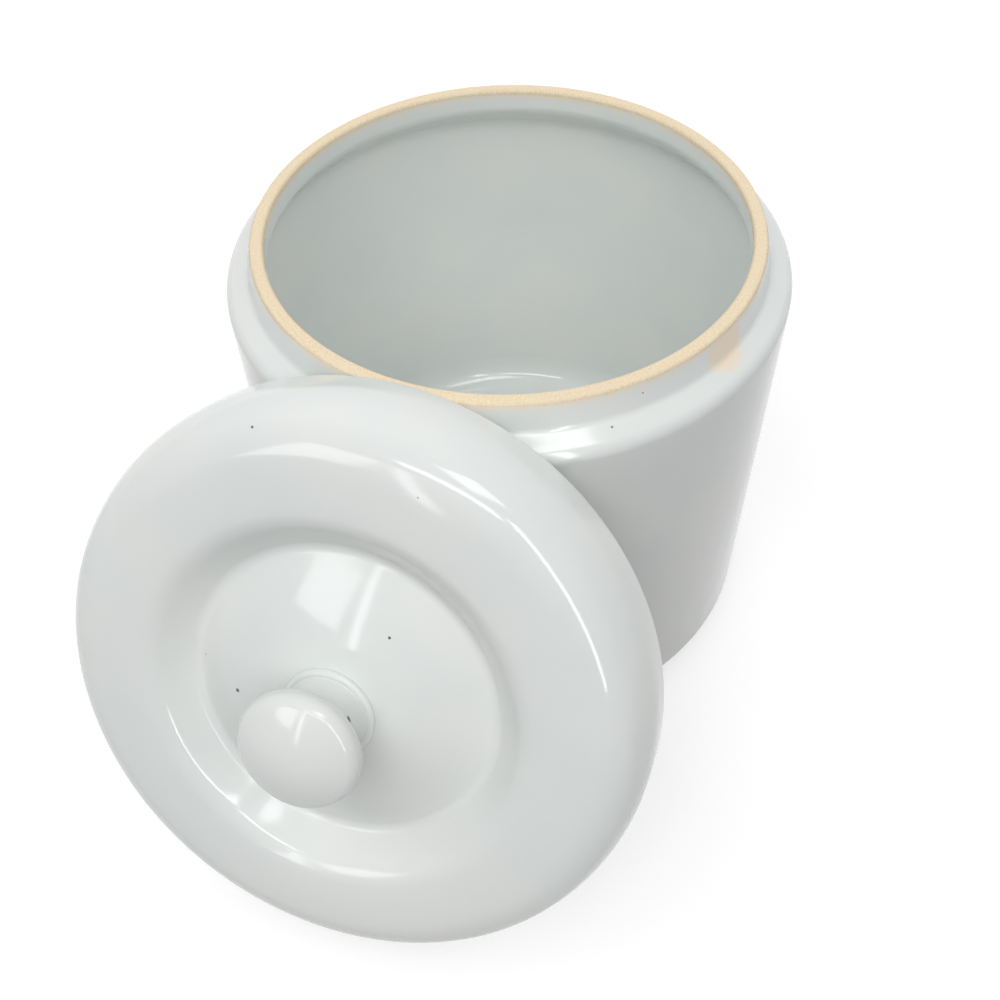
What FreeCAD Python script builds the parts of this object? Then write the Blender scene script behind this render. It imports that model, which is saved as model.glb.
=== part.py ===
import FreeCAD, Part
import math
import os
import Sketcher

# Garlic keeper of glazed stoneware: a straight-sided jar with a narrower collar, a cap-like lid
# whose skirt goes over that collar, and a round knob luted onto the lid.
# The lid is off and leans against the jar, its skirt on the table and on the edge of the rim.
# Millimetres and degrees. Z is up, and the origin is the centre of the jar's flat base.

SIZES = [
    # alias, number, meaning
    ("jar_height", 113.5, "base to the top of the rim"),
    ("jar_radius", 65.0, "outside of the straight wall"),
    ("jar_wall", 4.7, "thickness of the straight wall"),
    ("floor_thickness", 8.3, "thickness of the jar's floor"),
    ("ledge_width", 5.4, "from the outside of the wall in to the crease under the collar"),
    ("ledge_slope", 27.0, "rise of the ledge towards the crease, from the horizontal"),
    ("collar_height", 6.3, "crease to the top of the rim"),
    ("collar_taper", 1.7, "by how much the collar narrows from the crease to the rim"),
    ("rim_width", 3.0, "width of the rim"),
    ("mouth_depth", 6.0, "straight band inside the mouth"),
    ("throat_height", 6.0, "height over which the inside widens from the mouth to the wall"),
    ("foot_rounding", 6.5, "outer edge of the base"),
    ("shoulder_rounding", 3.5, "edge between the wall and the ledge"),
    ("crease_rounding", 1.7, "glaze that fills the crease under the collar"),
    ("rim_rounding", 0.8, "both edges of the rim"),
    ("throat_rounding", 4.0, "both bends of the widening inside the mouth"),
    ("floor_rounding", 8.0, "corner between the floor and the wall, inside"),
    ("lid_inset", 0.4, "by how much the lid is narrower than the jar, on each side"),
    ("lid_wall", 5.0, "thickness of the lid's top"),
    ("skirt_clearance", 0.6, "between the skirt's bore and the crease, when the lid is on"),
    ("skirt_height", 6.5, "straight side of the skirt"),
    ("seat_gap", 0.2, "skirt's end above the level of the crease, when the lid is on"),
    ("gallery_reach", 0.9, "by how much the gallery covers the rim on its inner side"),
    ("side_radius", 20.0, "first bend of the lid's edge, above the skirt"),
    ("side_turn", 29.0, "angle of that bend"),
    ("corner_radius", 7.5, "second, tight bend"),
    ("corner_turn", 25.0, "angle of that bend"),
    ("brow_radius", 12.0, "third bend, up onto the ring"),
    ("brow_turn", 31.0, "angle of that bend"),
    ("crest_radius", 60.0, "nearly flat top of the ring"),
    ("crest_turn", 10.0, "angle of that bend"),
    ("lip_radius", 7.0, "last bend, down into the groove"),
    ("lip_turn", 41.0, "angle of that bend"),
    ("groove_rounding", 2.5, "bottom of the groove between the ring and the dome"),
    ("dome_radius", 75.0, "radius of the dome in the middle of the lid"),
    ("dome_height", 21.1, "skirt's end to the top of the dome, before its flat seat is cut"),
    ("skirt_rounding", 0.7, "both edges of the skirt's end"),
    ("gallery_rounding", 1.2, "inner edge of the gallery and the corner at its outer side"),
    ("hollow_rounding", 3.5, "corners under the ring, inside the lid"),
    ("knob_radius", 12.8, "widest part of the knob's head"),
    ("knob_height", 18.7, "seat to the top of the knob"),
    ("head_height", 10.8, "full height of the head's oval"),
    ("head_edge_radius", 3.2, "outer bend of the head's oval"),
    ("waist_radius", 7.95, "narrowest part of the neck"),
    ("waist_height", 4.5, "seat to the narrowest part of the neck"),
    ("neck_curve", 7.5, "radius of the neck's hollow side"),
    ("neck_rounding", 1.2, "where the neck meets the head"),
    ("bead_reach", 9.3, "centre line of the bead of slip round the knob's foot"),
    ("bead_size", 0.85, "radius of that bead"),
    ("bead_height", 0.45, "seat to the bead's centre line"),
    ("seat_margin", 0.05, "flat seat on the dome beyond the bead"),
    ("lean_inset", 1.78, "from the lid's outside to where the rim touches the skirt's end"),
    ("lean_gap", 0.2, "between the skirt's end and the corner of the rim, when it leans"),
    ("lean_offset", 4.5, "by how much the leaning lid stands to the -X side of the jar"),
    ("table_gap", 0.1, "between the leaning skirt and the table"),
]

# Sizes that follow from the sheet's
CREASE_RADIUS = "(sizes.jar_radius - sizes.ledge_width)"
RIM_RADIUS = f"({CREASE_RADIUS} - sizes.collar_taper)"
MOUTH_RADIUS = f"({RIM_RADIUS} - sizes.rim_width)"
INSIDE_RADIUS = "(sizes.jar_radius - sizes.jar_wall)"
CREASE_HEIGHT = "(sizes.jar_height - sizes.collar_height)"
SHOULDER_HEIGHT = f"({CREASE_HEIGHT} - sizes.ledge_width * tan(sizes.ledge_slope * 1 deg))"
MOUTH_BOTTOM = "(sizes.jar_height - sizes.mouth_depth)"
THROAT_BOTTOM = f"({MOUTH_BOTTOM} - sizes.throat_height)"
LID_RADIUS = "(sizes.jar_radius - sizes.lid_inset)"
BORE_RADIUS = f"({CREASE_RADIUS} + sizes.skirt_clearance)"
GALLERY_RADIUS = f"({MOUTH_RADIUS} - sizes.gallery_reach)"
GALLERY_HEIGHT = "(sizes.collar_height + sizes.seat_gap)"
DOME_CENTRE = "(sizes.dome_height - sizes.dome_radius)"
SEAT_RADIUS = "(sizes.bead_reach + sizes.bead_size + sizes.seat_margin)"
SEAT_HEIGHT = f"({DOME_CENTRE} + sqrt(sizes.dome_radius ^ 2 - {SEAT_RADIUS} ^ 2))"
HEAD_CENTRE = "(sizes.knob_height - sizes.head_height / 2)"

# The leaning lid's tilt from lying flat: its skirt spans from the table to the edge of the rim
LEAN_SPAN = f"(2 * {LID_RADIUS} - sizes.skirt_rounding - sizes.lean_inset)"
LEAN_STEP = "(sizes.skirt_rounding + sizes.lean_gap)"
LEAN_RISE = "(sizes.jar_height - sizes.skirt_rounding - sizes.table_gap)"
LEAN = (f"(asin({LEAN_RISE} / sqrt({LEAN_SPAN} ^ 2 + {LEAN_STEP} ^ 2))"
        f" + atan({LEAN_STEP} / {LEAN_SPAN}))")

# How a sketch numbers a piece's points, its horizontal axis and its vertical axis, which is the
# pottery's axis
START, END, CENTRE = range(1, 4)
LEVEL, AXIS = range(-1, -3, -1)
ORIGIN = (LEVEL, START)

doc = FreeCAD.newDocument("garlic_keeper")
sizes = doc.addObject("Spreadsheet::Sheet", "sizes")


def fill_sheet():
    """Write each size with its alias and its meaning into a row of the sheet."""
    for row, (alias, number, meaning) in enumerate(SIZES, start=1):
        sizes.set(f"A{row}", alias)
        sizes.set(f"B{row}", str(number))
        sizes.setAlias(f"B{row}", alias)
        sizes.set(f"C{row}", meaning)
    doc.recompute()


def value(expression):
    """The number that an expression gives now, in millimetres or degrees."""
    return float(sizes.evalExpression(expression))


def point(radius, height):
    return FreeCAD.Vector(radius, height, 0)


def heading(degrees):
    return point(math.cos(math.radians(degrees)), math.sin(math.radians(degrees)))


def first_crossing(start, direction, centre, radius):
    """Where a straight run from a point outside a circle first meets it."""
    offset = start - centre
    along = offset.dot(direction)
    run = -along - math.sqrt(along ** 2 - offset.dot(offset) + radius ** 2)
    return start + direction * run


class Outline:
    """A half section beside the pottery's axis, in a sketch on the body's upright plane."""

    def __init__(self, body, name):
        self.sketch = body.newObject("Sketcher::SketchObject", name)
        plane = next(part for part in body.Origin.OriginFeatures if part.Role == "XZ_Plane")
        self.sketch.AttachmentSupport = [(plane, "")]
        self.sketch.MapMode = "FlatFace"

    def line(self, start, end):
        return self.sketch.addGeometry(Part.LineSegment(start, end), False)

    def arc(self, centre, radius, first, last):
        """An arc that runs counter-clockwise between two directions, given in degrees."""
        circle = Part.Circle(centre, FreeCAD.Vector(0, 0, 1), radius)
        curve = Part.ArcOfCircle(circle, math.radians(first), math.radians(last))
        return self.sketch.addGeometry(curve, False)

    def tie(self, kind, *places):
        self.sketch.addConstraint(Sketcher.Constraint(kind, *places))

    def measure(self, expression, kind, *places):
        """A constraint whose size follows an expression of the sheet's values."""
        number = value(expression)
        if kind == "Angle":
            number = math.radians(number)
        index = self.sketch.addConstraint(Sketcher.Constraint(kind, *places, number))
        self.sketch.setExpression(f"Constraints[{index}]", expression)

    def place(self, geometry, end, radius=None, height=None):
        """Set how far a point is from the axis and how high it is above the sketch's origin."""
        if radius:
            self.measure(radius, "DistanceX", *ORIGIN, geometry, end)
        if height:
            self.measure(height, "DistanceY", *ORIGIN, geometry, end)

    def spot(self, geometry, end):
        return self.sketch.getPoint(geometry, end)


def revolve(body, outline, name):
    turned = body.newObject("PartDesign::Revolution", name)
    turned.Profile = (outline.sketch, [""])
    turned.ReferenceAxis = (outline.sketch, ["V_Axis"])
    turned.Angle = 360
    doc.recompute()
    return turned


def edges_through(shape, spot):
    """Names of the full circles of a turned shape that pass through a spot of its half section."""
    near = 0.001
    names = []
    for number, edge in enumerate(shape.Edges, start=1):
        if edge.Degenerated or len(edge.Vertexes) != 1:
            continue
        circle = edge.Curve
        if not isinstance(circle, Part.Circle):
            continue
        if abs(circle.Radius - spot.x) < near and abs(circle.Center.z - spot.y) < near:
            names.append(f"Edge{number}")
    return names


def round_corners(body, name, spots, expression):
    """Round the circular edges that the named spots of the half section make."""
    base = body.Tip
    local = base.Shape
    names = [edge for spot in spots for edge in edges_through(local, spot)]
    if len(names) != len(spots):
        raise RuntimeError(f"{name}: {len(spots)} corners but {len(names)} edges")
    fillet = body.newObject("PartDesign::Fillet", name)
    fillet.Base = (base, names)
    fillet.setExpression("Radius", expression)
    doc.recompute()


def make_jar():
    body = doc.addObject("PartDesign::Body", "jar")
    outline = Outline(body, "jar_half_section")
    corners = [
        ("0", "0"),
        ("sizes.jar_radius", "0"),
        ("sizes.jar_radius", SHOULDER_HEIGHT),
        (CREASE_RADIUS, CREASE_HEIGHT),
        (RIM_RADIUS, "sizes.jar_height"),
        (MOUTH_RADIUS, "sizes.jar_height"),
        (MOUTH_RADIUS, MOUTH_BOTTOM),
        (INSIDE_RADIUS, THROAT_BOTTOM),
        (INSIDE_RADIUS, "sizes.floor_thickness"),
        ("0", "sizes.floor_thickness"),
    ]
    points = [point(value(radius), value(height)) for radius, height in corners]
    sides = [outline.line(start, end) for start, end in zip(points, points[1:] + points[:1])]
    for before, after in zip(sides, sides[1:] + sides[:1]):
        outline.tie("Coincident", before, END, after, START)
    for side, (radius, height) in zip(sides, corners):
        if radius == "0":
            outline.tie("PointOnObject", side, START, AXIS)
        else:
            outline.place(side, START, radius=radius)
        if height == "0":
            outline.tie("PointOnObject", side, START, LEVEL)
        else:
            outline.place(side, START, height=height)
    revolve(body, outline, "jar_turned")
    base, foot, shoulder, crease, rim_out, rim_in, band, throat, floor, middle = points
    round_corners(body, "jar_foot_edge", [foot], "sizes.foot_rounding")
    round_corners(body, "jar_shoulder_edge", [shoulder], "sizes.shoulder_rounding")
    round_corners(body, "jar_crease", [crease], "sizes.crease_rounding")
    round_corners(body, "jar_rim_edges", [rim_out, rim_in], "sizes.rim_rounding")
    round_corners(body, "jar_throat_bends", [band, throat], "sizes.throat_rounding")
    round_corners(body, "jar_floor_corner", [floor], "sizes.floor_rounding")
    return body


def make_lid_cap():
    """The lid without its knob, in its own frame: the skirt's end in the plane z = 0."""
    body = doc.addObject("PartDesign::Body", "lid_cap")
    outline = Outline(body, "lid_half_section")
    radius = value(LID_RADIUS)
    at = point(radius, value("sizes.skirt_height"))
    side = outline.line(point(radius, 0), at)
    outline.tie("Vertical", side)
    outline.tie("PointOnObject", side, START, LEVEL)
    outline.place(side, END, radius=LID_RADIUS, height="sizes.skirt_height")

    # Bends over the edge, each tangent to the one before it; the direction faces out of the clay
    facing = 0.0
    before = side
    bends = {}
    for bend in ("side", "corner", "brow", "crest", "lip"):
        size = value(f"sizes.{bend}_radius")
        turn = value(f"sizes.{bend}_turn")
        centre = at - heading(facing) * size
        piece = outline.arc(centre, size, facing, facing + turn)
        outline.tie("Tangent", before, END, piece, START)
        outline.measure(f"sizes.{bend}_radius", "Radius", piece)
        outline.measure(f"sizes.{bend}_turn * 1 deg", "Angle", piece)
        facing += turn
        at = centre + heading(facing) * size
        before = piece
        bends[bend] = piece

    # Straight side of the groove, down to the dome
    dome_centre = point(0, value(DOME_CENTRE))
    dome_size = value("sizes.dome_radius")
    downhill = heading(facing + 90)
    groove = first_crossing(at, downhill, dome_centre, dome_size)
    slope = outline.line(at, groove)
    outline.tie("Tangent", before, END, slope, START)

    # Dome, the knob's flat seat on it, and the axis
    seat_edge = point(value(SEAT_RADIUS), value(SEAT_HEIGHT))
    dome = outline.arc(dome_centre, dome_size, angle_of(groove - dome_centre),
                       angle_of(seat_edge - dome_centre))
    outline.tie("Coincident", slope, END, dome, START)
    outline.tie("PointOnObject", dome, CENTRE, AXIS)
    outline.place(dome, CENTRE, height=DOME_CENTRE)
    outline.measure("sizes.dome_radius", "Radius", dome)
    seat = outline.line(seat_edge, point(0, seat_edge.y))
    outline.tie("Coincident", dome, END, seat, START)
    outline.tie("Horizontal", seat)
    outline.place(seat, START, radius=SEAT_RADIUS)
    wall = value("sizes.lid_wall")
    inner_top = point(0, value("sizes.dome_height") - wall)
    middle = outline.line(point(0, seat_edge.y), inner_top)
    outline.tie("Coincident", seat, END, middle, START)
    outline.tie("PointOnObject", middle, START, AXIS)
    outline.tie("PointOnObject", middle, END, AXIS)

    # Underside: the same dome and slope, one wall thickness further in
    inner_start = at - heading(facing) * wall
    inner_groove = first_crossing(inner_start, downhill, dome_centre, dome_size - wall)
    inner_dome = outline.arc(dome_centre, dome_size - wall,
                             angle_of(inner_groove - dome_centre), 90)
    outline.tie("Coincident", middle, END, inner_dome, END)
    outline.tie("Coincident", inner_dome, CENTRE, dome, CENTRE)
    outline.measure("sizes.dome_radius - sizes.lid_wall", "Radius", inner_dome)
    crest_centre = outline.spot(bends["crest"], CENTRE)
    ceiling_height = crest_centre.y + value("sizes.crest_radius") - wall
    rise = (ceiling_height - inner_groove.y) / -downhill.y
    ceiling_start = inner_groove - downhill * rise
    inner_slope = outline.line(inner_groove, ceiling_start)
    outline.tie("Coincident", inner_dome, START, inner_slope, START)
    outline.tie("Parallel", inner_slope, slope)
    outline.measure("sizes.lid_wall", "Distance", inner_slope, START, slope)

    # Ceiling under the ring, the gallery that rests on the rim, and the skirt's bore
    gallery_inner = value(GALLERY_RADIUS)
    gallery_level = value(GALLERY_HEIGHT)
    bore = value(BORE_RADIUS)
    turns = [
        ceiling_start,
        point(gallery_inner, ceiling_height),
        point(gallery_inner, gallery_level),
        point(bore, gallery_level),
        point(bore, 0),
        point(radius, 0),
    ]
    ceiling, curb, gallery, bore_side, end_face = [
        outline.line(start, end) for start, end in zip(turns, turns[1:])
    ]
    chain = [inner_slope, ceiling, curb, gallery, bore_side, end_face, side]
    for before, after in zip(chain, chain[1:]):
        outline.tie("Coincident", before, END, after, START)
    for level in (ceiling, gallery):
        outline.tie("Horizontal", level)
    for upright in (curb, bore_side):
        outline.tie("Vertical", upright)
    outline.measure("sizes.crest_radius - sizes.lid_wall", "DistanceY",
                    bends["crest"], CENTRE, ceiling, START)
    outline.place(curb, END, radius=GALLERY_RADIUS, height=GALLERY_HEIGHT)
    outline.place(bore_side, START, radius=BORE_RADIUS)
    outline.tie("PointOnObject", bore_side, END, LEVEL)
    revolve(body, outline, "lid_turned")

    spot = outline.spot
    round_corners(body, "lid_groove", [spot(slope, END)], "sizes.groove_rounding")
    round_corners(body, "lid_groove_underside", [spot(inner_slope, START)],
                  "sizes.groove_rounding + sizes.lid_wall")
    round_corners(body, "lid_ceiling_corners", [spot(ceiling, START), spot(ceiling, END)],
                  "sizes.hollow_rounding")
    round_corners(body, "lid_gallery_corners", [spot(curb, END), spot(gallery, END)],
                  "sizes.gallery_rounding")
    round_corners(body, "lid_skirt_edges", [spot(end_face, START), spot(end_face, END)],
                  "sizes.skirt_rounding")
    return body


def angle_of(direction):
    return math.degrees(math.atan2(direction.y, direction.x))


def make_lid_knob():
    """The knob in its own frame: its flat foot in the plane z = 0, where it is luted on."""
    body = doc.addObject("PartDesign::Body", "lid_knob")
    outline = Outline(body, "knob_half_section")

    # Oval head of two wide arcs, centred on the axis, and a tight bend between them
    edge_size = value("sizes.head_edge_radius")
    edge_centre = point(value("sizes.knob_radius") - edge_size, value(HEAD_CENTRE))
    half = value("sizes.head_height") / 2
    cap_size = (edge_centre.x ** 2 + half ** 2 - edge_size ** 2) / (2 * (half - edge_size))
    over_centre = edge_centre.y + half - cap_size
    under_centre = edge_centre.y - half + cap_size
    tilt = angle_of(edge_centre - point(0, over_centre))

    # Bead of slip at the foot, and the neck's hollow side
    bead_centre = point(value("sizes.bead_reach"), value("sizes.bead_height"))
    bead_size = value("sizes.bead_size")
    neck_size = value("sizes.neck_curve")
    neck_centre = point(value("sizes.waist_radius") + neck_size, value("sizes.waist_height"))
    foot_angle = -math.degrees(math.asin(bead_centre.y / bead_size))
    bead_top = meeting(bead_centre, bead_size, neck_centre, neck_size, 1)
    neck_top = meeting(point(0, under_centre), cap_size, neck_centre, neck_size, -1)
    foot_edge = bead_centre + heading(foot_angle) * bead_size

    foot = outline.line(point(0, 0), foot_edge)
    bead = outline.arc(bead_centre, bead_size, foot_angle, angle_of(bead_top - bead_centre))
    neck = outline.arc(neck_centre, neck_size, angle_of(neck_top - neck_centre),
                       angle_of(bead_top - neck_centre) % 360)
    under = outline.arc(point(0, under_centre), cap_size,
                        angle_of(neck_top - point(0, under_centre)), -tilt)
    edge = outline.arc(edge_centre, edge_size, -tilt, tilt)
    over = outline.arc(point(0, over_centre), cap_size, tilt, 90)
    middle = outline.line(point(0, value("sizes.knob_height")), point(0, 0))

    outline.tie("PointOnObject", foot, START, AXIS)
    outline.tie("PointOnObject", foot, START, LEVEL)
    outline.tie("PointOnObject", foot, END, LEVEL)
    outline.tie("Coincident", foot, END, bead, START)
    outline.tie("Coincident", bead, END, neck, END)
    outline.tie("Coincident", neck, START, under, START)
    outline.tie("Tangent", under, END, edge, START)
    outline.tie("Tangent", edge, END, over, START)
    outline.tie("Coincident", over, END, middle, START)
    outline.tie("Coincident", middle, END, foot, START)
    outline.tie("PointOnObject", middle, START, AXIS)
    for piece in (under, over):
        outline.tie("PointOnObject", piece, CENTRE, AXIS)
    outline.tie("Equal", under, over)
    outline.place(middle, START, height="sizes.knob_height")
    outline.place(edge, CENTRE, "sizes.knob_radius - sizes.head_edge_radius", HEAD_CENTRE)
    outline.place(bead, CENTRE, "sizes.bead_reach", "sizes.bead_height")
    outline.place(neck, CENTRE, "sizes.waist_radius + sizes.neck_curve", "sizes.waist_height")
    outline.measure("sizes.head_edge_radius", "Radius", edge)
    outline.measure("sizes.bead_size", "Radius", bead)
    outline.measure("sizes.neck_curve", "Radius", neck)
    revolve(body, outline, "knob_turned")
    round_corners(body, "knob_neck_bend", [outline.spot(neck, START)], "sizes.neck_rounding")
    return body


def meeting(first, first_size, second, second_size, side):
    """One of the two spots where two circles cross: side 1 is left of the way between centres."""
    way = second - first
    gap = way.Length
    along = (gap ** 2 + first_size ** 2 - second_size ** 2) / (2 * gap)
    across = side * math.sqrt(first_size ** 2 - along ** 2)
    ahead = way / gap
    return first + ahead * along + point(-ahead.y, ahead.x) * across


def lean(cap, knob):
    """Stand the lid on the table, its skirt's end against the edge of the rim."""
    low_edge = f"({LID_RADIUS} - sizes.skirt_rounding)"
    centre_height = (f"({low_edge} * sin({LEAN}) + sizes.skirt_rounding * (1 - cos({LEAN}))"
                     " + sizes.table_gap)")
    setback = (f"(((sizes.jar_height - {centre_height}) * cos({LEAN}) + sizes.lean_gap)"
               f" / sin({LEAN}))")
    for body, along in ((cap, "0"), (knob, SEAT_HEIGHT)):
        body.Placement = FreeCAD.Placement(FreeCAD.Vector(), FreeCAD.Rotation(1, 0, 0, 1))
        body.setExpression("Placement.Rotation.Angle", LEAN)
        body.setExpression("Placement.Base.x", "-sizes.lean_offset")
        body.setExpression("Placement.Base.y", f"-{RIM_RADIUS} - {setback} - {along} * sin({LEAN})")
        body.setExpression("Placement.Base.z", f"{centre_height} + {along} * cos({LEAN})")
    doc.recompute()


def check_and_write(bodies):
    """Stop at any failed object or bad shape, and otherwise write each body to its own file."""
    failed = [item.Label for item in doc.Objects if {"Invalid", "Error"} & set(item.State)]
    if failed:
        raise RuntimeError("failed objects: " + ", ".join(failed))
    for body in bodies:
        shape = body.Shape
        if shape.isNull() or not shape.isValid() or len(shape.Solids) != 1:
            raise RuntimeError("bad shape: " + body.Label)
    os.makedirs("parts", exist_ok=True)
    for body in bodies:
        body.Shape.exportStep(f"parts/{body.Label}.step")
        print(body.Label, "volume in cm3:", round(body.Shape.Volume / 1000, 1))


fill_sheet()
jar = make_jar()
lid_cap = make_lid_cap()
lid_knob = make_lid_knob()
lean(lid_cap, lid_knob)
check_and_write([jar, lid_cap, lid_knob])
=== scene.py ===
import math

import bmesh
import bpy
from mathutils import Matrix, Vector


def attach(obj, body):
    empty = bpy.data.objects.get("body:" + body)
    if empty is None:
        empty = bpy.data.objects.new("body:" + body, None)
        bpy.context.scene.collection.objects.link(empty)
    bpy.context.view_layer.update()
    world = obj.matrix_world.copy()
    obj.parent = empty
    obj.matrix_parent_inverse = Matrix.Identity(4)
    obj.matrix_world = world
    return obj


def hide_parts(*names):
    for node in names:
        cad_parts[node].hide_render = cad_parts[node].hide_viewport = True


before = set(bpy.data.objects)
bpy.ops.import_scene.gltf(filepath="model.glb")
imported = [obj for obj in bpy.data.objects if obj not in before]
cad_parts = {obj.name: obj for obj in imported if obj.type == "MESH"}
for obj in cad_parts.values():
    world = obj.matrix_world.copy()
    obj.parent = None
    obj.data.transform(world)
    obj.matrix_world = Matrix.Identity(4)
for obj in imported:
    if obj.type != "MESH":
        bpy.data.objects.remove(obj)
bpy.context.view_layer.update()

# Sizes of the pottery, in millimetres and degrees
MM = 0.001
JAR_HEIGHT = 113.5
JAR_RADIUS = 64.98
JAR_WALL = 4.7
FLOOR_THICKNESS = 8.3
LEDGE_WIDTH = 5.4
LEDGE_SLOPE = 27.0
COLLAR_HEIGHT = 6.3
COLLAR_TAPER = 1.7
RIM_WIDTH = 3.0
RIM_ROUNDING = 0.8
MOUTH_DEPTH = 6.0
THROAT_HEIGHT = 6.0
THROAT_ROUNDING = 4.0
FOOT_ROUNDING = 6.5
SHOULDER_ROUNDING = 3.5
CREASE_ROUNDING = 1.7
FLOOR_ROUNDING = 8.0
CREASE_RADIUS = JAR_RADIUS - LEDGE_WIDTH
CREASE_HEIGHT = JAR_HEIGHT - COLLAR_HEIGHT
RIM_RADIUS = CREASE_RADIUS - COLLAR_TAPER
MOUTH_RADIUS = RIM_RADIUS - RIM_WIDTH
INSIDE_RADIUS = JAR_RADIUS - JAR_WALL

LID_INSET = 0.4
SKIRT_CLEARANCE = 0.6
GALLERY_REACH = 0.9
SEAT_GAP = 0.2
LID_RADIUS = JAR_RADIUS - LID_INSET
LID_WALL = 5.0
SKIRT_BORE = CREASE_RADIUS + SKIRT_CLEARANCE
SKIRT_HEIGHT = 6.5
SKIRT_ROUNDING = 0.7
GALLERY_RADIUS = MOUTH_RADIUS - GALLERY_REACH
GALLERY_HEIGHT = COLLAR_HEIGHT + SEAT_GAP
GALLERY_ROUNDING = 1.2
HOLLOW_ROUNDING = 3.5
# Radius and turn of each bend, from the skirt up over the ring and down towards the dome
LID_BENDS = [(20.0, 29.0), (7.5, 25.0), (12.0, 31.0), (60.0, 10.0), (7.0, 41.0)]
GROOVE_ROUNDING = 2.5
DOME_RADIUS = 75.0
DOME_HEIGHT = 21.1
DOME_CENTRE = DOME_HEIGHT - DOME_RADIUS
SEAT_RADIUS = 10.2
SEAT_HEIGHT = DOME_CENTRE + math.sqrt(DOME_RADIUS ** 2 - SEAT_RADIUS ** 2)

KNOB_RADIUS = 12.8
KNOB_HEIGHT = 18.7
HEAD_HEIGHT = 10.8
HEAD_EDGE = 3.2
WAIST_RADIUS = 7.95
WAIST_HEIGHT = 4.5
NECK_CURVE = 7.5
NECK_ROUNDING = 1.2
BEAD_REACH = 9.3
BEAD_SIZE = 0.85
BEAD_HEIGHT = 0.45

# The lid leans against the rim: tilted about X, with the middle of its skirt's end here
LEAN = 63.2
LID_MIDDLE = (-4.5, -86.38, 57.51)

# Glaze and clay: sRGB colours, and pattern sizes in millimetres
GLAZE_WHITE = "F1F3F0"
GLAZE_COOL = "EBF0EE"
GLAZE_BLUSH = "FFE9CC"
CLAY_LIGHT = "F9EACF"
CLAY_DARK = "EFD9B3"
IRON_SPECK = "3A332F"
CLOUD_SIZE = 34.0
WAVE_LENGTH = 16.0
WAVE_HEIGHT = 0.12
# Grains of the clay, about as large as they are
GRAIN_SIZE = 0.5
GRAIN_HEIGHT = 0.03
# Height from which the glaze is wiped off, at the mouth and at the outside of the rim
WIPE_INSIDE = 112.9
WIPE_OUTSIDE = 113.4
WIPE_RAGGEDNESS = 3.0
WIPE_WANDER = 1.2
# The patch of thin glaze: its middle, the distances at which it starts and is full, and how thin
THIN_PATCH = (54.4, -22.8, 110.2)
PATCH_EDGE = (9.0, 6.0)
PATCH_STRENGTH = 0.75
# Iron specks and the pit in the knob's neck: place and radius
LID_SPECKS = [
    ((-26.5, -103.8, 62.3), 0.62),
    ((-24.6, -77.4, 116.4), 0.36),
    ((5.9, -93.6, 82.7), 0.4),
    ((-20.4, -100.1, 71.9), 0.18),
    ((-36.2, -98.8, 64.1), 0.18),
    ((2.3, -98.0, 77.4), 0.16),
    ((20.0, -95.0, 75.4), 0.16),
    ((17.5, -104.2, 60.7), 0.16),
    ((9.8, -81.7, 113.1), 0.2),
]
JAR_SPECKS = [
    ((37.3, -48.4, 106.4), 0.3),
    ((41.5, -41.5, 110.5), 0.22),
]
KNOB_SPECKS = [
    ((2.2, -108.0, 73.6), 0.7),
    ((2.4, -108.3, 73.2), 0.6),
]

# Camera: angles in degrees, its target and sensor in millimetres, its distance in metres
CAMERA_AZIMUTH = 19.8
CAMERA_ELEVATION = 50.4
CAMERA_ROLL = -1.9
CAMERA_TARGET = (-3.8, -0.6, 13.9)
CAMERA_DISTANCE = 324.7 * MM
CAMERA_LENS = 39.56
CAMERA_SENSOR = 36

# Lamps: name, azimuth and elevation in degrees, width and height in metres, and glow. The soft
# boxes light the clay, the windows are mirrored in the glaze, and the room lights all round.
LAMP_AIM = (-20.0, -70.0, 60.0)
LAMP_DISTANCE = 1.3
SOFT_BOXES = [
    ("front_box", 22, 51, 1.1, 0.8, 2.15),
    ("right_box", 70, 52, 0.8, 0.8, 0.75),
    ("left_top_box", -40, 65, 0.8, 0.8, 1.75),
    ("left_box", -90, 40, 0.8, 0.8, 0.6),
    ("back_box", 180, 30, 2.0, 0.8, 1.1),
]
WINDOWS = [
    ("window", -29, 31, 0.4, 0.5, 3.2),
    ("window_post", -12.3, 27, 0.07, 0.75, 5.0),
    ("door_post", 41, 30, 0.1, 1.1, 9.0),
    ("door_top", 8, 54, 0.62, 0.11, 8.0),
    ("skylight", 50, 70, 0.5, 0.3, 5.0),
]
ROOM_LIGHT = 0.3

# The table: its size in metres, how pale it looks, its own glow, and how pale it is as a source
TABLE_RADIUS = 6.0
TABLE_SEEN = 0.6
TABLE_GLOW = 0.54
TABLE_LIGHTING = 0.2

# How finely a half section and the full turn are divided
LONGEST_STEP = 2.2
WIDEST_TURN = 5.0
TURN_STEPS = 180


def in_metres(place):
    return Vector(place) * MM


def from_hex(code):
    """Linear colour of an sRGB hex value."""
    parts = [int(code[start:start + 2], 16) / 255 for start in (0, 2, 4)]
    linear = [part / 12.92 if part <= 0.04045 else ((part + 0.055) / 1.055) ** 2.4 for part in parts]
    return (*linear, 1.0)


def angle_of(way):
    return math.degrees(math.atan2(way.y, way.x))


def meeting(first, first_radius, second, second_radius, side):
    """Where two circles cross: side 1 is to the left of the way from the first to the second."""
    way = second - first
    along = (way.length_squared + first_radius ** 2 - second_radius ** 2) / (2 * way.length)
    across = side * math.sqrt(first_radius ** 2 - along ** 2)
    ahead = way.normalized()
    return first + ahead * along + Vector((-ahead.y, ahead.x)) * across


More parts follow.
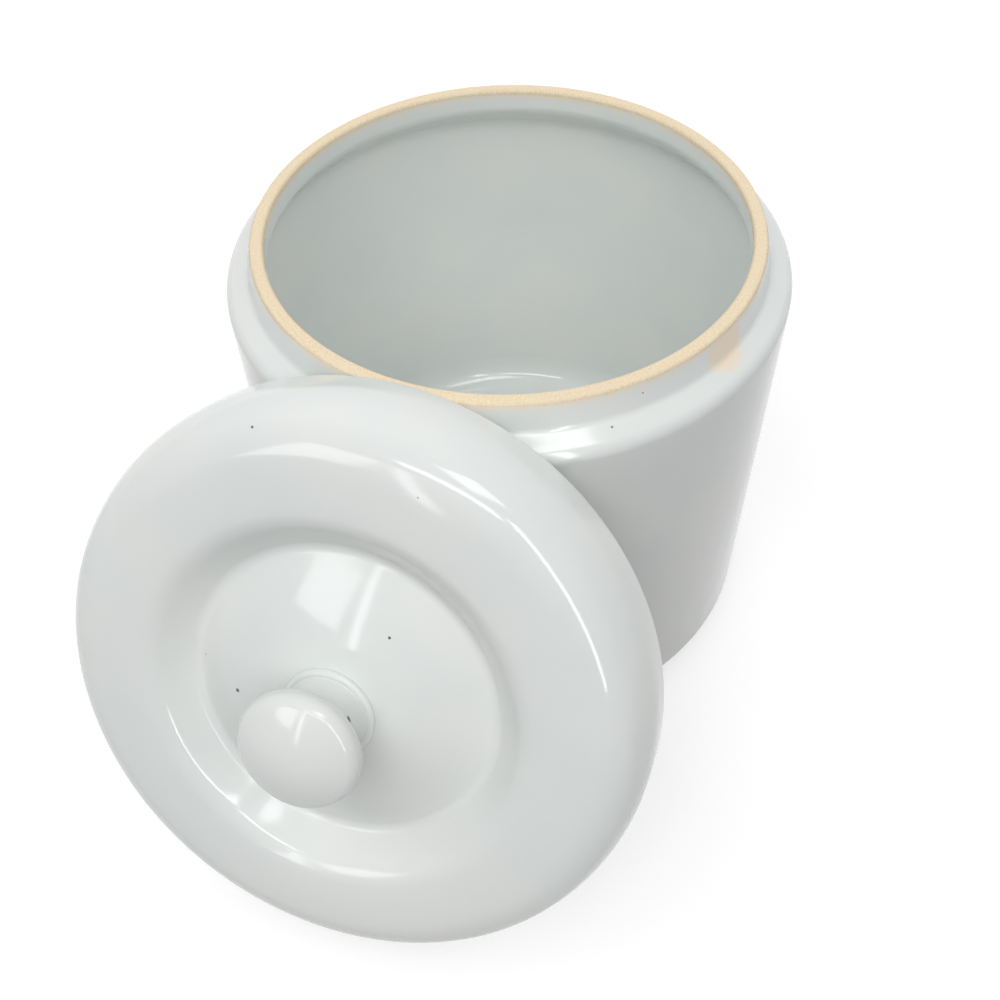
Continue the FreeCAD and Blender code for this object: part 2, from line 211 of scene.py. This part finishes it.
class HalfSection:
    """A pot's half section, drawn by leading one point along straight runs and round bends.

    Places are (radius, height) in millimetres, the heading is in degrees above outwards, and the
    clay is on the left of the way.
    """

    def __init__(self, radius, height, heading):
        self.bm = bmesh.new()
        self.tip = self.bm.verts.new(in_metres((radius, 0, height)))
        self.heading = heading

    def spot(self):
        return Vector((self.tip.co.x, self.tip.co.z)) / MM

    def straight(self, length):
        steps = max(1, math.ceil(length / LONGEST_STEP))
        way = Vector((math.cos(math.radians(self.heading)), 0, math.sin(math.radians(self.heading))))
        for _ in range(steps):
            self.tip = bmesh.ops.extrude_vert_indiv(self.bm, verts=[self.tip])["verts"][0]
            self.tip.co += way * (length * MM / steps)

    def bend(self, radius, turn):
        """Lead the point round an arc; a turn to the left is positive."""
        inwards = math.radians(self.heading + math.copysign(90, turn))
        centre = self.spot() + Vector((math.cos(inwards), math.sin(inwards))) * radius
        length = radius * math.radians(abs(turn))
        steps = max(3, math.ceil(abs(turn) / WIDEST_TURN), math.ceil(length / LONGEST_STEP))
        swept = bmesh.ops.spin(
            self.bm, geom=[self.tip], cent=in_metres((centre.x, 0, centre.y)),
            axis=(0, -1, 0), angle=math.radians(turn), steps=steps,
        )
        self.tip = next(part for part in swept["geom_last"] if isinstance(part, bmesh.types.BMVert))
        self.heading += turn

    def along(self, corners):
        """Straight from corner to corner, each (radius, height, rounding), and stop at the last."""
        places = [Vector(corner[:2]) for corner in corners]
        for place, after, (_, _, rounding) in zip(places, places[1:], corners):
            turn = (angle_of(after - place) - self.heading + 180) % 360 - 180
            cut = rounding * math.tan(math.radians(abs(turn)) / 2)
            self.straight((place - self.spot()).length - cut)
            self.bend(rounding, turn)
        self.straight((places[-1] - self.spot()).length)


def turn_on_wheel(section, name, place=Matrix.Identity(4)):
    """Spin a half section once round the axis, close its poles and put the piece in its place."""
    bm = section.bm
    bmesh.ops.spin(
        bm, geom=bm.verts[:] + bm.edges[:], cent=(0, 0, 0), axis=(0, 0, 1),
        angle=math.tau, steps=TURN_STEPS, use_merge=True,
    )
    bmesh.ops.remove_doubles(bm, verts=bm.verts, dist=0.001 * MM)
    bmesh.ops.recalc_face_normals(bm, faces=bm.faces)
    bmesh.ops.transform(bm, matrix=place, verts=bm.verts)
    for face in bm.faces:
        face.smooth = True
    mesh = bpy.data.meshes.new(name)
    bm.to_mesh(mesh)
    bm.free()
    piece = bpy.data.objects.new(name, mesh)
    bpy.context.scene.collection.objects.link(piece)
    return piece


def make_jar():
    shoulder = CREASE_HEIGHT - LEDGE_WIDTH * math.tan(math.radians(LEDGE_SLOPE))
    band_end = JAR_HEIGHT - MOUTH_DEPTH
    section = HalfSection(0, 0, heading=0)
    section.along([
        (JAR_RADIUS, 0, FOOT_ROUNDING),
        (JAR_RADIUS, shoulder, SHOULDER_ROUNDING),
        (CREASE_RADIUS, CREASE_HEIGHT, CREASE_ROUNDING),
        (RIM_RADIUS, JAR_HEIGHT, RIM_ROUNDING),
        (MOUTH_RADIUS, JAR_HEIGHT, RIM_ROUNDING),
        (MOUTH_RADIUS, band_end, THROAT_ROUNDING),
        (INSIDE_RADIUS, band_end - THROAT_HEIGHT, THROAT_ROUNDING),
        (INSIDE_RADIUS, FLOOR_THICKNESS, FLOOR_ROUNDING),
        (0, FLOOR_THICKNESS, 0),
    ])
    return turn_on_wheel(section, "jar_body")


def make_lid(place):
    """From the middle of the underside outwards, round the skirt and back over the top."""
    edge = HalfSection(LID_RADIUS, SKIRT_HEIGHT, heading=90)
    for radius, turn in LID_BENDS:
        edge.bend(radius, turn)
    crest = max(vert.co.z for vert in edge.bm.verts) / MM
    lip = edge.spot()
    edge.bm.free()

    # The groove's bottom is an arc that touches the slope from the lip and the dome
    slope = sum(turn for _, turn in LID_BENDS) - 90
    downhill = Vector((-math.cos(math.radians(slope)), -math.sin(math.radians(slope))))
    above = Vector((downhill.y, -downhill.x))
    start = lip + above * GROOVE_ROUNDING - Vector((0, DOME_CENTRE))
    ahead = -start.dot(downhill)
    reach = DOME_RADIUS + GROOVE_ROUNDING
    run = ahead - math.sqrt(ahead ** 2 - start.length_squared + reach ** 2)
    dome_edge = 90 - angle_of(start + downhill * run)

    section = HalfSection(0, DOME_HEIGHT - LID_WALL, heading=0)
    section.bend(DOME_RADIUS - LID_WALL, -dome_edge)
    section.bend(GROOVE_ROUNDING + LID_WALL, dome_edge + slope)
    ceiling = crest - LID_WALL
    corner = section.spot().x + (ceiling - section.spot().y) / math.tan(math.radians(slope))
    section.along([
        (corner, ceiling, HOLLOW_ROUNDING),
        (GALLERY_RADIUS, ceiling, HOLLOW_ROUNDING),
        (GALLERY_RADIUS, GALLERY_HEIGHT, GALLERY_ROUNDING),
        (SKIRT_BORE, GALLERY_HEIGHT, GALLERY_ROUNDING),
        (SKIRT_BORE, 0, SKIRT_ROUNDING),
        (LID_RADIUS, 0, SKIRT_ROUNDING),
        (LID_RADIUS, SKIRT_HEIGHT, 0),
    ])
    for radius, turn in LID_BENDS:
        section.bend(radius, turn)
    section.straight(run)
    section.bend(GROOVE_ROUNDING, -(slope + dome_edge))
    section.bend(DOME_RADIUS, dome_edge - math.degrees(math.asin(SEAT_RADIUS / DOME_RADIUS)))
    section.heading = 180
    section.straight(SEAT_RADIUS)
    return turn_on_wheel(section, "lid_body", place)


def make_knob(place):
    """Flat foot, bead of slip, hollow-sided neck, and a head of two wide arcs and a tight one."""
    half = HEAD_HEIGHT / 2
    head_edge = Vector((KNOB_RADIUS - HEAD_EDGE, KNOB_HEIGHT - half))
    wide = (head_edge.x ** 2 + half ** 2 - HEAD_EDGE ** 2) / (2 * (half - HEAD_EDGE))
    under = Vector((0, head_edge.y - half + wide))
    brow = angle_of(under - head_edge + Vector((2 * head_edge.x, 0)))
    bead = Vector((BEAD_REACH, BEAD_HEIGHT))
    neck = Vector((WAIST_RADIUS + NECK_CURVE, WAIST_HEIGHT))
    bead_top = meeting(bead, BEAD_SIZE, neck, NECK_CURVE, 1)
    joint = meeting(under, wide + NECK_ROUNDING, neck, NECK_CURVE - NECK_ROUNDING, -1)
    foot = math.degrees(math.asin(BEAD_HEIGHT / BEAD_SIZE))

    section = HalfSection(0, 0, heading=0)
    section.straight(BEAD_REACH + BEAD_SIZE * math.cos(math.radians(foot)))
    section.heading = 90 - foot
    section.bend(BEAD_SIZE, angle_of(bead_top - bead) + foot)
    section.heading = angle_of(bead_top - neck) % 360 - 90
    section.bend(NECK_CURVE, angle_of(joint - neck) - angle_of(bead_top - neck) % 360)
    section.bend(NECK_ROUNDING, angle_of(joint - under) + 90 - section.heading)
    section.bend(wide, -brow - angle_of(joint - under))
    section.bend(HEAD_EDGE, 2 * brow)
    section.bend(wide, 90 - brow)
    return turn_on_wheel(section, "knob_body", place)


def add_node(tree, kind, inputs=(), **settings):
    """Add a node with its settings; an input takes a value, a socket, or a node's first output."""
    made = tree.nodes.new(kind)
    for name, setting in settings.items():
        setattr(made, name, setting)
    for place, filling in dict(inputs).items():
        if isinstance(filling, bpy.types.Node):
            filling = next(socket for socket in filling.outputs if socket.enabled)
        if isinstance(filling, bpy.types.NodeSocket):
            tree.links.new(filling, made.inputs[place])
        else:
            made.inputs[place].default_value = filling
    return made


def from_axis(tree, place):
    """How far a place is from the upright axis."""
    flat = add_node(tree, "ShaderNodeVectorMath", {0: place, 1: (1, 1, 0)}, operation="MULTIPLY")
    return add_node(tree, "ShaderNodeVectorMath", {0: flat}, operation="LENGTH")


def bare_rim_and_foot(tree, mm):
    """The jar: glaze wiped off the rim and the foot, so that neither sticks in the kiln.

    Gives how bare a point is, and how thin the glaze is beside that. At the right of the front
    the sponge slipped, and a soft-edged patch of the collar's outside has thin glaze.
    """
    height = add_node(tree, "ShaderNodeSeparateXYZ", {0: mm}).outputs["Z"]
    ragged = add_node(
        tree, "ShaderNodeTexNoise", {"Vector": mm, "Scale": 1 / WIPE_RAGGEDNESS, "Detail": 3.0},
    )
    radius = from_axis(tree, mm)
    line = add_node(
        tree, "ShaderNodeMapRange",
        {"Value": radius, "From Min": MOUTH_RADIUS, "From Max": RIM_RADIUS,
         "To Min": -WIPE_INSIDE, "To Max": -WIPE_OUTSIDE},
    )
    wavy = add_node(tree, "ShaderNodeMath", {0: ragged, 1: WIPE_WANDER, 2: height}, operation="MULTIPLY_ADD")
    above = add_node(tree, "ShaderNodeMath", {0: wavy, 1: line}, operation="ADD")
    rim = add_node(tree, "ShaderNodeMapRange", {"Value": above, "From Min": -0.1, "From Max": 0.1})
    edge = add_node(
        tree, "ShaderNodeMapRange",
        {"Value": above, "From Min": -1.8, "From Max": 0.0, "To Max": 0.5},
    )
    from_slip = add_node(tree, "ShaderNodeVectorMath", {0: mm, 1: THIN_PATCH}, operation="DISTANCE")
    uneven = add_node(tree, "ShaderNodeMath", {0: ragged, 1: 4.0, 2: from_slip}, operation="MULTIPLY_ADD")
    slip = add_node(
        tree, "ShaderNodeMapRange",
        {"Value": uneven, "From Min": PATCH_EDGE[0], "From Max": PATCH_EDGE[1],
         "To Max": PATCH_STRENGTH},
        interpolation_type="SMOOTHSTEP",
    )
    outside = add_node(
        tree, "ShaderNodeMapRange",
        {"Value": radius, "From Min": RIM_RADIUS - 1.5, "From Max": RIM_RADIUS - 1.0},
    )
    patch = add_node(tree, "ShaderNodeMath", {0: slip, 1: outside}, operation="MULTIPLY")
    thin = add_node(tree, "ShaderNodeMath", {0: edge, 1: patch}, operation="MAXIMUM")
    foot = add_node(tree, "ShaderNodeMapRange", {"Value": height, "From Min": 0.45, "From Max": 0.3})
    bare = add_node(tree, "ShaderNodeMath", {0: rim, 1: foot}, operation="MAXIMUM")
    return bare, thin


def bare_gallery(tree, mm):
    """The lid: the face over the rim is bare too. It is found in the lid's own, untilted place."""
    upright = add_node(
        tree, "ShaderNodeMapping",
        {"Vector": mm, "Location": LID_MIDDLE, "Rotation": (math.radians(LEAN), 0, 0)},
        vector_type="TEXTURE",
    )
    height = add_node(tree, "ShaderNodeSeparateXYZ", {0: upright}).outputs["Z"]
    radius = from_axis(tree, upright)
    low = add_node(
        tree, "ShaderNodeMapRange",
        {"Value": height, "From Min": GALLERY_HEIGHT + 0.9, "From Max": GALLERY_HEIGHT + 0.6},
    )
    inner = add_node(
        tree, "ShaderNodeMapRange",
        {"Value": radius, "From Min": SKIRT_BORE - 0.4, "From Max": SKIRT_BORE - 0.7},
    )
    bare = add_node(tree, "ShaderNodeMath", {0: low, 1: inner}, operation="MULTIPLY")
    return bare, bare


def glazed_stoneware(name, specks, bare_zone=None):
    """Buff stoneware under a white glaze, dipped and fired to a gloss.

    The glaze is a smooth, faintly cool white that mirrors the windows, a little wavy, with a few
    iron specks. It blushes peach where it thins out, and the wiped clay beside that is dry buff.
    """
    material = bpy.data.materials.new(name)
    material.use_nodes = True
    tree = material.node_tree
    shader = tree.nodes["Principled BSDF"]
    metres = add_node(tree, "ShaderNodeTexCoord").outputs["Object"]
    mm = add_node(tree, "ShaderNodeVectorMath", {0: metres, "Scale": 1 / MM}, operation="SCALE")

    clouds = add_node(tree, "ShaderNodeTexNoise", {"Vector": mm, "Scale": 1 / CLOUD_SIZE, "Detail": 2.0})
    tint = add_node(tree, "ShaderNodeMapRange", {"Value": clouds, "From Min": 0.35, "From Max": 0.65})
    colour = add_node(
        tree, "ShaderNodeMix", {0: tint, 6: from_hex(GLAZE_COOL), 7: from_hex(GLAZE_WHITE)}, data_type="RGBA",
    )
    gloss = add_node(tree, "ShaderNodeMapRange", {"Value": clouds, "To Min": 0.07, "To Max": 0.14})

    marks = None
    for place, size in specks:
        away = add_node(tree, "ShaderNodeVectorMath", {0: mm, 1: place}, operation="DISTANCE")
        mark = add_node(tree, "ShaderNodeMapRange", {"Value": away, "From Min": size, "From Max": size * 0.4})
        marks = add_node(tree, "ShaderNodeMath", {0: marks, 1: mark}, operation="MAXIMUM") if marks else mark
    colour = add_node(tree, "ShaderNodeMix", {0: marks, 6: colour, 7: from_hex(IRON_SPECK)}, data_type="RGBA")

    waves = add_node(tree, "ShaderNodeTexNoise", {"Vector": mm, "Scale": 1 / WAVE_LENGTH, "Detail": 1.0})
    normal = add_node(tree, "ShaderNodeBump", {"Height": waves, "Distance": WAVE_HEIGHT * MM})

    if bare_zone:
        bare, thin = bare_zone(tree, mm)
        colour = add_node(
            tree, "ShaderNodeMix", {0: thin, 6: colour, 7: from_hex(GLAZE_BLUSH)}, data_type="RGBA",
        )
        grain = add_node(tree, "ShaderNodeTexNoise", {"Vector": mm, "Scale": 1 / GRAIN_SIZE, "Detail": 4.0})
        grains = add_node(tree, "ShaderNodeMapRange", {"Value": grain, "From Min": 0.35, "From Max": 0.65})
        clay = add_node(
            tree, "ShaderNodeMix",
            {0: grains, 6: from_hex(CLAY_DARK), 7: from_hex(CLAY_LIGHT)}, data_type="RGBA",
        )
        colour = add_node(tree, "ShaderNodeMix", {0: bare, 6: colour, 7: clay}, data_type="RGBA")
        gloss = add_node(tree, "ShaderNodeMapRange", {"Value": bare, "To Min": gloss, "To Max": 0.8})
        rough = add_node(tree, "ShaderNodeMath", {0: grain, 1: bare}, operation="MULTIPLY")
        normal = add_node(
            tree, "ShaderNodeBump", {"Height": rough, "Distance": GRAIN_HEIGHT * MM, "Normal": normal},
        )
    tree.links.new(colour.outputs[2], shader.inputs["Base Color"])
    tree.links.new(gloss.outputs[0], shader.inputs["Roughness"])
    tree.links.new(normal.outputs[0], shader.inputs["Normal"])
    shader.inputs["IOR"].default_value = 1.5
    return material


def direction(azimuth, elevation):
    """The way to a camera or lamp, one unit long; azimuth is from -Y towards +X."""
    turn = math.radians(azimuth)
    lift = math.radians(elevation)
    return Vector((math.sin(turn) * math.cos(lift), -math.cos(turn) * math.cos(lift), math.sin(lift)))


def add_camera():
    """The photographer's place, fitted to the outlines and rims in the photograph."""
    back = direction(CAMERA_AZIMUTH, CAMERA_ELEVATION)
    level = direction(CAMERA_AZIMUTH + 90, 0)
    turned = Matrix((level, back.cross(level), back)).transposed().to_4x4()
    data = bpy.data.cameras.new("camera")
    data.lens = CAMERA_LENS
    data.sensor_width = CAMERA_SENSOR
    camera = bpy.data.objects.new("camera", data)
    camera.matrix_world = (
        Matrix.Translation(in_metres(CAMERA_TARGET) + back * CAMERA_DISTANCE) @ turned
        @ Matrix.Rotation(math.radians(CAMERA_ROLL), 4, "Z")
    )
    bpy.context.scene.collection.objects.link(camera)
    bpy.context.scene.camera = camera


def add_lamp(name, azimuth, elevation, width, height, glow, mirrored):
    """A flat lamp that faces the pottery; its glow is how bright its face looks.

    A soft box lights the clay but isn't mirrored in the glaze; a window is only mirrored.
    """
    data = bpy.data.lights.new(name, "AREA")
    data.shape = "RECTANGLE"
    data.size = width
    data.size_y = height
    data.energy = glow * math.pi * width * height
    lamp = bpy.data.objects.new(name, data)
    way = direction(azimuth, elevation)
    lamp.location = in_metres(LAMP_AIM) + way * LAMP_DISTANCE
    lamp.rotation_mode = "QUATERNION"
    lamp.rotation_quaternion = way.to_track_quat("Z", "Y")
    lamp.visible_diffuse = not mirrored
    lamp.visible_glossy = mirrored
    bpy.context.scene.collection.objects.link(lamp)


def is_seen(tree):
    """1 where the surroundings are looked at, straight or in the glaze, and 0 where they light."""
    rays = add_node(tree, "ShaderNodeLightPath").outputs
    seen = rays["Is Camera Ray"]
    for kind in ("Is Glossy Ray", "Is Transmission Ray"):
        seen = add_node(tree, "ShaderNodeMath", {0: seen, 1: rays[kind]}, operation="MAXIMUM")
    return seen


def add_floor_and_world():
    """A pale table and a white room: white to look at, but only as bright as soft light needs."""
    floor_mesh = bpy.data.meshes.new("table_top")
    bm = bmesh.new()
    bmesh.ops.create_circle(bm, cap_ends=True, segments=96, radius=TABLE_RADIUS)
    bm.to_mesh(floor_mesh)
    bm.free()
    floor = bpy.data.objects.new("table_top", floor_mesh)
    bpy.context.scene.collection.objects.link(floor)
    material = bpy.data.materials.new("pale_table")
    material.use_nodes = True
    tree = material.node_tree
    tree.nodes.clear()
    seen = is_seen(tree)
    shown = add_node(tree, "ShaderNodeBsdfDiffuse", {"Color": (TABLE_SEEN, TABLE_SEEN, TABLE_SEEN, 1)})
    place = add_node(tree, "ShaderNodeTexCoord").outputs["Object"]
    away = add_node(tree, "ShaderNodeVectorMath", {0: place}, operation="LENGTH")
    glow = add_node(
        tree, "ShaderNodeMapRange",
        {"Value": away, "From Min": 0.3, "From Max": 1.6, "To Min": TABLE_GLOW, "To Max": 1.0},
    )
    lift = add_node(tree, "ShaderNodeEmission", {"Color": (1, 1, 1, 1), "Strength": glow})
    white = add_node(tree, "ShaderNodeAddShader", {0: shown, 1: lift})
    grey = add_node(
        tree, "ShaderNodeBsdfDiffuse",
        {"Color": (TABLE_LIGHTING, TABLE_LIGHTING, TABLE_LIGHTING, 1)},
    )
    mixed = add_node(tree, "ShaderNodeMixShader", {0: seen, 1: grey, 2: white})
    from_below = add_node(tree, "ShaderNodeNewGeometry").outputs["Backfacing"]
    clear = add_node(tree, "ShaderNodeBsdfTransparent")
    mixed = add_node(tree, "ShaderNodeMixShader", {0: from_below, 1: mixed, 2: clear})
    add_node(tree, "ShaderNodeOutputMaterial", {"Surface": mixed})
    floor_mesh.materials.append(material)

    world = bpy.data.worlds.new("studio")
    bpy.context.scene.world = world
    world.use_nodes = True
    tree = world.node_tree
    tree.nodes.clear()
    seen = is_seen(tree)
    strength = add_node(tree, "ShaderNodeMapRange", {"Value": seen, "To Min": ROOM_LIGHT, "To Max": 1.0})
    sky = add_node(tree, "ShaderNodeBackground", {"Color": (1, 1, 1, 1), "Strength": strength})
    add_node(tree, "ShaderNodeOutputWorld", {"Surface": sky})


add_camera()
add_floor_and_world()
for lamp in SOFT_BOXES:
    add_lamp(*lamp, mirrored=False)
for lamp in WINDOWS:
    add_lamp(*lamp, mirrored=True)

lid_place = Matrix.Translation(in_metres(LID_MIDDLE)) @ Matrix.Rotation(math.radians(LEAN), 4, "X")
knob_place = lid_place @ Matrix.Translation(in_metres((0, 0, SEAT_HEIGHT)))
jar_glaze = glazed_stoneware("glazed_stoneware_jar", JAR_SPECKS, bare_rim_and_foot)
lid_glaze = glazed_stoneware("glazed_stoneware_lid", LID_SPECKS, bare_gallery)
knob_glaze = glazed_stoneware("glazed_stoneware_knob", KNOB_SPECKS)
pieces = [
    (make_jar(), "jar", "jar", jar_glaze),
    (make_lid(lid_place), "lid", "lid_cap", lid_glaze),
    (make_knob(knob_place), "lid", "lid_knob", knob_glaze),
]
for piece, body, node, finish in pieces:
    piece.data.materials.append(finish)
    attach(piece, body)
    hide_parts(node)

bpy.context.scene.view_settings.view_transform = "Standard"
